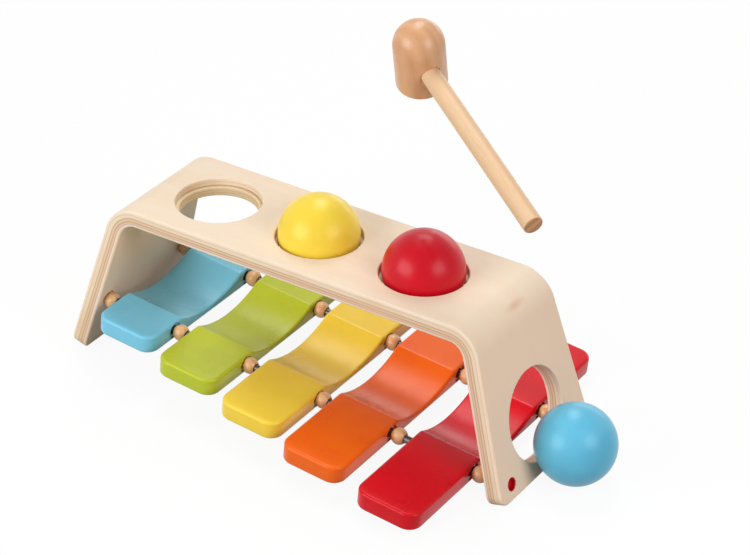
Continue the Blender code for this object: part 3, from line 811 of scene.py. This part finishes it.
def bar_outline(half_width, half_length, corner_steps=9, end_steps=6):
    """Points and outward normals of the core outline: two long sides, four corners and two ends."""
    corner = BAR_CORNER - BAR_EDGE
    a, b = half_width - BAR_EDGE, half_length - BAR_EDGE
    side = side_stations(b - corner)
    quarter = np.radians(np.linspace(0, 90, corner_steps + 1))[1:-1]
    end = np.linspace(a - corner, corner - a, end_steps + 1)
    right = np.stack((np.full_like(side, a), side, np.ones_like(side), 0 * side), axis=-1)
    bend = np.stack((a - corner + corner * np.cos(quarter), b - corner + corner * np.sin(quarter),
                     np.cos(quarter), np.sin(quarter)), axis=-1)
    top = np.stack((end, np.full_like(end, b), 0 * end, np.ones_like(end)), axis=-1)
    second_bend = bend[::-1] * (-1, 1, -1, 1)
    half = np.concatenate((right, bend, top, second_bend))
    return np.concatenate((half, half * (-1, -1, -1, -1)))


def bar_surface(half_width, half_length, flat_steps=4, edge_steps=7):
    """Grid of a bar about its middle: rows from the top's spine round the edge to the bottom's."""
    outline = bar_outline(half_width, half_length)
    core, normal = outline[:, :2], outline[:, 2:]
    reach = half_length - half_width
    spine = np.stack((0 * core[:, 1], np.clip(core[:, 1], -reach, reach)), axis=-1)
    rows = [(core * (1 - share) + spine * share, BAR_EDGE)
            for share in np.linspace(1, 0, flat_steps, endpoint=False)]
    rows += [(core + normal * BAR_EDGE * math.cos(angle), BAR_EDGE * math.sin(angle))
             for angle in np.radians(np.linspace(90, 0, edge_steps + 1))]
    level = BAR_THICK / 2 - BAR_EDGE
    upper = [np.column_stack((flat, level + rise - hollow(flat[:, 1]))) for flat, rise in rows]
    lower = [np.column_stack((flat, np.full(len(flat), -level - rise))) for flat, rise in reversed(rows)]
    return np.stack((*upper, *lower))


def bar_tool(y):
    """Cutter of a rod's bore through a bar, with a bead's round pocket at each side."""
    outside = BAR_WIDTH / 2 + OVERRUN
    seat = BAR_WIDTH / 2 - POCKET
    profile = [(0, outside), (BEAD_POCKET, outside), (BEAD_POCKET, seat), (BAR_BORE, seat),
               (BAR_BORE, -seat), (BEAD_POCKET, -seat), (BEAD_POCKET, -outside), (0, -outside)]
    return turned("bar_bore", profile, steps=48, origin=(0, y, 0), axis=(1, 0, 0))


BAR_HARD = 24
ROD_SPREAD = box_middles["rod_rear"].y
tilt = Matrix.Rotation(ROD_TILT, 4, "Y")
for name, finish in bar_finishes.items():
    node = "bar_" + name
    half_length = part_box(node)[1].y
    grid = bar_surface(BAR_WIDTH / 2, half_length)
    blank = build(node, grid, grid_faces(*grid.shape[:2], False, True), BAR_HARD)
    mesh = carve(node, blank, [bar_tool(-ROD_SPREAD), bar_tool(ROD_SPREAD)])
    mesh.transform(Matrix.Translation(box_middles[node]) @ tilt)
    harden(mesh, BAR_HARD)
    piece(node, mesh, finish)
    print(node, "half length", round(half_length * 1000, 1), "mm,", len(mesh.polygons), "faces")

# %% [markdown]
# ## Turned wood
# Beads and mallet are turned from a light brown hardwood with a satin lacquer.  Growth rings run
# round a line beside the piece, so they show as long stripes on its sides and as arcs on its ends.
# The rings are a distance from that line, bent a little by noise; short dark flecks follow the grain.

# %% Wood finish
END_LIGHT = colour("CE9A70")
END_DARK = colour("B98258")
END_BLEND = 0.0005
RING_BEND_CELLS = (60.0, 60.0, 12.0)
RING_BEND = 2.2
WOOD_FIBRE_CELLS = (1600.0, 1600.0, 60.0)
WOOD_CLOUD_CELLS = (90.0, 90.0, 25.0)
WOOD_BUMP = 0.00003
print("end grain from", np.round(END_LIGHT[:3], 2), "to", np.round(END_DARK[:3], 2))


def wood(name, light, dark, fleck, origin, turn, pith, ring, roughness=0.33, gloss=0.45, end=None):
    """Lacquered wood with its grain along the Z axis of a turned frame, darker from a height end on."""
    finish = Finish(name, Specular_IOR_Level=gloss)
    world_place = finish.node("ShaderNodeTexCoord", None, None, output="Object")
    place = finish.node("ShaderNodeMapping", {"vector_type": "TEXTURE"},
                        {"Vector": world_place, "Location": tuple(origin), "Rotation": tuple(turn)})
    bend = finish.drawn_noise(place, RING_BEND_CELLS)
    from_pith = finish.vector("SUBTRACT", place, (*pith, 0.0))
    flat = finish.vector("MULTIPLY", from_pith, (1.0, 1.0, 0.0))
    radius = finish.vector("LENGTH", flat, output="Value")
    rings = finish.math("PINGPONG", radius / ring + bend * RING_BEND, 1.0)
    fibre = finish.drawn_noise(place, WOOD_FIBRE_CELLS)
    cloud = finish.drawn_noise(place, WOOD_CLOUD_CELLS)
    base = finish.mix(rings * 0.45 + cloud * 0.45, colour(light), colour(dark))
    if end:
        height = finish.vector("DOT_PRODUCT", place, (0.0, 0.0, 1.0), output="Value")
        end_grain = finish.mix(finish.step(rings, 0.3, 0.7), END_LIGHT, END_DARK)
        base = finish.mix(finish.step(height, end - END_BLEND, end), base, end_grain)
    finish.set(Base_Color=finish.mix(finish.step(fibre, 0.58, 0.75) * 0.5, base, colour(fleck)),
               Roughness=roughness - 0.06 + 0.12 * fibre,
               Normal=finish.bump(fibre * 0.7 + rings * 0.3, WOOD_BUMP, 0.4))
    return finish


# %% [markdown]
# ## Beads
# Twelve round beads keep the bars apart.  Each is a ball with a bore and two small flats, threaded
# on a rod.  The middle of a bead is the middle of its node's box.

# %% Beads
BEAD = 0.0052
BEAD_RIM = 0.0005
BEAD_BORE = 0.0028
half_bead = math.sqrt(BEAD ** 2 - (BEAD_BORE + BEAD_RIM) ** 2)
end_angle = math.degrees(math.asin(half_bead / BEAD))
rounding = BEAD_RIM / 2
bead_profile = np.concatenate((arc(0, 0, BEAD, end_angle, -end_angle, 28),
                               arc(BEAD_BORE + rounding, -half_bead + rounding, rounding, 270, 180, 3),
                               arc(BEAD_BORE + rounding, half_bead - rounding, rounding, 180, 90, 3)))
along_rod = (0, math.radians(90) + ROD_TILT, 0)
bead_wood = wood("bead_wood", "EDBE8C", "E0A872", "CC9058", (0, 0, 0), along_rod,
                 pith=(0.012, 0.05), ring=0.0012, roughness=0.3)
for row in ("front", "rear"):
    for number in range(1, 7):
        node = f"bead_{row}_{number}"
        mesh = turned(node, bead_profile, steps=48, closed=True, origin=box_middles[node], axis=ROD_AXIS)
        piece(node, mesh, bead_wood)
print("bead", round(2 * half_bead * 1000, 1), "mm long")

# %% [markdown]
# ## Rods and plugs
# The rods are drawn steel with fine lines along them and small chamfers at their ends.  Their colour
# is darkened as painted shade, for the shadowed gaps between beads and bars where they show.
# Red caps close their bores.  A cap is a shallow cup with a slightly raised floor.  Both start at
# the end of their node that lies lowest along their own axis.

# %% Rods and plugs
steel = Finish("steel", Metallic=1.0)
steel_place = steel.node("ShaderNodeTexCoord", None, None, output="Object")
DRAW_CELLS = (12.0, 4000.0, 4000.0)
STEEL_BUMP = 0.00001
draw = steel.drawn_noise(steel_place, DRAW_CELLS)
# Painted shade: both steel tones are darkened, so the rod looks shadowed between beads and bars.
SHADED_STEEL_LIGHT = colour("6A6664")
SHADED_STEEL_DARK = colour("4E4B4A")
steel.set(Base_Color=steel.mix(draw, SHADED_STEEL_LIGHT, SHADED_STEEL_DARK), Roughness=0.34 + 0.18 * draw,
          Normal=steel.bump(draw, STEEL_BUMP, 0.4))
ROD = 0.0025
CHAMFER = 0.0004
for row in ("front", "rear"):
    node = "rod_" + row
    start, length = node_end(node, ROD_AXIS)
    profile = [(0, 0), (ROD - CHAMFER, 0), (ROD, CHAMFER),
               (ROD, length - CHAMFER), (ROD - CHAMFER, length), (0, length)]
    piece(node, turned(node, profile, steps=48, origin=start, axis=ROD_AXIS), steel)
print("rods", round(length * 1000, 1), "mm long")

PLUG = 0.0041
PLUG_WALL = 0.0006
PLUG_FLOOR = 0.0012
PLUG_RISE = 0.0006
HALF_WAY_SHARE = 0.7
PLUG_EDGE = 0.0002
PLUG_GLAZE = 0.26
plug_paint = paint("plug_paint", "D0141F", "C0111B", PLUG_GLAZE, grain_axis=2)
bowl = PLUG - PLUG_WALL
top = RECESS - CLEARANCE - PLUG_EDGE
plug_profile = [(0, PLUG_FLOOR + PLUG_RISE), (bowl / 2, PLUG_FLOOR + PLUG_RISE * HALF_WAY_SHARE),
                (bowl, PLUG_FLOOR), (bowl, top - PLUG_EDGE), (bowl + PLUG_EDGE, top),
                (PLUG - PLUG_EDGE, top), (PLUG, top - PLUG_EDGE), (PLUG, PLUG_EDGE),
                (PLUG - PLUG_EDGE, 0), (0, 0)]
for row in ("front", "rear"):
    for side, end_name in ((-1, "left"), (1, "right")):
        node = f"plug_{row}_{end_name}"
        out = leg_outward(side)
        plug_mesh = turned(node, plug_profile, steps=48, origin=node_end(node, out)[0], axis=out)
        piece(node, plug_mesh, plug_paint)
print("plugs", round(top * 1000, 1), "mm long")

# %% [markdown]
# ## Balls
# The balls are turned from wood and dipped in paint, so they are a little uneven: a radius with two
# faint waves of about a hundredth of a millimetre catches the light less perfectly than a sphere's.

# %% Balls
BALL = 0.025
MEAN_SHARE = 0.9988
HEIGHT_WAVE = 0.0006
ROUND_WAVE = 0.0004
BALL_PAINTS = {"yellow": ("F9DC4C", "F3D243"), "red": ("D00B22", "C8091E"), "blue": ("68C0DE", "5EB7D8")}
BALL_GLAZE = 0.32
BALL_HARD = 60


def ball_grid(rows=72, columns=144):
    """Unit directions times a radius that waves with the height h and the angle a round the axis.

    radius = ball (mean + height wave sin(3 h + 1) cos^2 h + round wave sin(4 a) cos^4 h)
    """
    height = np.linspace(math.pi / 2, -math.pi / 2, rows)[:, None]
    angle = np.linspace(0, 2 * math.pi, columns, endpoint=False)[None, :]
    up_and_down = HEIGHT_WAVE * np.sin(3 * height + 1) * np.cos(height) ** 2
    round_about = ROUND_WAVE * np.sin(4 * angle) * np.cos(height) ** 4
    radius = BALL * (MEAN_SHARE + (up_and_down + round_about))
    flat = radius * np.cos(height)
    return np.stack((flat * np.cos(angle), flat * np.sin(angle), radius * np.sin(height)), axis=-1)


for name, shades in BALL_PAINTS.items():
    node = "ball_" + name
    grid = ball_grid()
    faces = grid_faces(*grid.shape[:2], False, True)
    mesh = build(node, grid + np.array(box_middles[node]), faces, BALL_HARD)
    ball_finish = paint(f"ball_{name}_paint", *shades, BALL_GLAZE, grain_axis=2, gloss=0.42)
    piece(node, mesh, ball_finish)
print(len(BALL_PAINTS), "balls,", len(mesh.polygons), "faces each")

# %% [markdown]
# ## The mallet
# Head and handle are turned, and their axes cross at a right angle.  The head is a half ball on a
# cylinder with a rounded striking face.  The handle's end sits in a blind bore in the head.  The
# mallet hangs in the air where it was photographed, so its three turns are given as angles.

# %% Mallet
MALLET_TURN = (math.radians(12.2), math.radians(14.6), math.radians(-30.8))
HEAD = 0.01535
HEAD_EDGE = 0.0015
HEAD_DROP = 0.0274
HEAD_LENGTH = 0.0456
HANDLE = 0.0059
HANDLE_INSET = 0.006
HANDLE_EDGE = 0.0012
END_DEPTH = 0.0002
turns = [Matrix.Rotation(angle, 3, axis) for angle, axis in zip(MALLET_TURN, "XYZ")]
mallet_axes = turns[2] @ turns[1] @ turns[0]
head_axis, handle_axis = np.array(mallet_axes.col[2]), np.array(mallet_axes.col[0])
striking_face = node_end("mallet_head", head_axis)[0]
cross = striking_face + head_axis * (HEAD_LENGTH - HEAD_DROP)
handle_start, handle_length = node_end("mallet_handle", handle_axis)
print("axes cross at", np.round(cross, 4), "handle", round(handle_length * 1000, 1), "mm")

round_face = arc(HEAD - HEAD_EDGE, HEAD_EDGE, HEAD_EDGE, 0, -90, 8)
dome = arc(0, HEAD_LENGTH - HEAD, HEAD, 90, 0, 28)
head_profile = np.concatenate((dome, round_face, [(0, 0)]))
head_mesh = turned("head", head_profile, steps=96, origin=striking_face, axis=head_axis)
bore_start = cross - handle_axis * HANDLE_INSET
bore_end = cross + handle_axis * (HEAD + OVERRUN)
bore = plain_bore(HANDLE + CLEARANCE, bore_start, bore_end, steps=64)
head_mesh = carve("head", head_mesh, [bore])
harden(head_mesh, HARD_ANGLE)
head_wood = wood("head_wood", "E6B288", "CD9364", "BC7F50", cross, MALLET_TURN,
                 pith=(0.02, -0.05), ring=0.0035)
piece("mallet_head", head_mesh, head_wood)

low = arc(HANDLE - HANDLE_EDGE, HANDLE_EDGE, HANDLE_EDGE, 270, 360, 6)
high = arc(HANDLE - HANDLE_EDGE, handle_length - HANDLE_EDGE, HANDLE_EDGE, 0, 90, 6)
profile = np.concatenate(([(0, 0)], low, high, [(0, handle_length)]))
handle_mesh = turned("handle", profile, steps=64, origin=handle_start, axis=handle_axis)
along_handle = (mallet_axes @ Matrix.Rotation(math.pi / 2, 3, "Y")).to_euler()
tip = float(np.dot(handle_start - cross, handle_axis)) + handle_length
handle_wood = wood("handle_wood", "EDCBA4", "DFB488", "D0A278", cross, along_handle,
                   pith=(0.04, 0.02), ring=0.003, roughness=0.45, gloss=0.25, end=tip - END_DEPTH)
piece("mallet_handle", handle_mesh, handle_wood)
